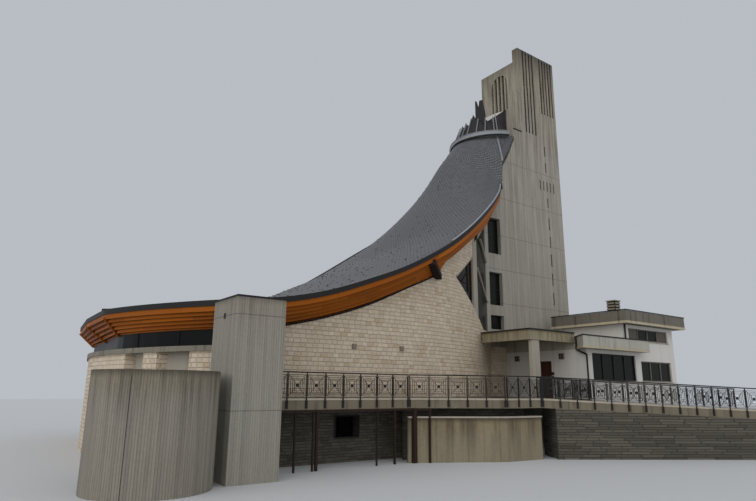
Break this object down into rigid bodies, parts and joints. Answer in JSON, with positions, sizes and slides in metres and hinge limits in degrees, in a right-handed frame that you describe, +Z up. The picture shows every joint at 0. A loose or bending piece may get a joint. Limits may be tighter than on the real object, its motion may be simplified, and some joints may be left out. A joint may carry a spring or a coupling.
{
  "type": "modern church building",
  "caption": "Modern church with a fan-shaped nave under one sweeping slate roof, a concrete bell tower, a raised deck with railings, an entrance porch and a flat-roofed annex.",
  "frame": {"origin": "centre of the whole building in plan, on the lowest ground", "axes": "+X along the street front from the rounded end to the annex, +Y from the street into the depth, +Z up"},
  "size_m": [35.06, 31.1977, 28.2],
  "materials": {
    "concrete": "board-marked raw concrete with rain stains",
    "darkMetal": "dark painted steel",
    "doorRed": "dark red paint",
    "glass": "dark reflecting glass",
    "greyStone": "dark coursed rubble stone",
    "paleConcrete": "smooth pale concrete",
    "render": "white render",
    "rust": "brown painted steel",
    "slate": "grey slate shingles",
    "stone": "pale limestone ashlar, rough faced",
    "wood": "orange-brown glazed boards",
    "zinc": "weathered zinc"
  },
  "bodies": {
    "building": {"lower_front_wall": "greyStone", "lower_back_wall": "greyStone", "nave_front_wall": "stone", "nave_back_wall": "stone", "nave_front_curved_wall": "stone", "nave_back_curved_wall": "stone", "end_wall": "stone", "end_wall_lining": "paleConcrete", "ring_beam": "paleConcrete", "clerestory_band": "glass", "roof_front": "slate", "roof_back": "slate", "soffit_front": "wood", "soffit_back": "wood", "soffit_end": "wood", "nave_front_glazing": "glass", "nave_back_glazing": "glass", "glazing_post": "concrete", "church_floor": "concrete", "ramp": "concrete", "ramp_base": "greyStone", "deck_low_wall": "concrete", "deck_base_wall": "greyStone", "corner_pier": "concrete", "drum_wall": "concrete", "tower_front_wall": "concrete", "tower_back_wall": "concrete", "tower_right_wall": "concrete", "tower_left_wall": "concrete", "tower_shaft_back_wall": "concrete", "tower_roof": "concrete", "tower_top_slab": "concrete", "tower_bay_glass": "glass", "crown_ring": "zinc", "crown_fins": "darkMetal", "crown_lantern": "zinc", "porch_column": "paleConcrete", "porch_canopy": "paleConcrete", "door_wall": "render", "annex_front_wall": "render", "annex_upper_front_wall": "render", "annex_right_wall": "render", "annex_back_wall": "render", "annex_floor": "concrete", "annex_low_roof": "paleConcrete", "annex_upper_roof": "paleConcrete", "chimney": "rust", "annex_window_1": "glass", "annex_window_2": "glass", "annex_window_3": "glass", "door_frame": "doorRed", "door_hinges": "rust", "deck_railing_1": "darkMetal", "deck_railing_2": "darkMetal", "deck_railing_3": "darkMetal", "ramp_railing_near": "darkMetal", "ramp_railing_far": "darkMetal", "porch_railing": "darkMetal"},
    "door": {"entrance_door": "doorRed"}
  },
  "joints": [
    {"name": "entrance_door_hinge", "type": "hinge", "parent": "building", "child": "door", "pos_m": [7.6583, -5.0121, 2.6], "axis": [0, 0, 1], "range_deg": [0, 90]}
  ]
}
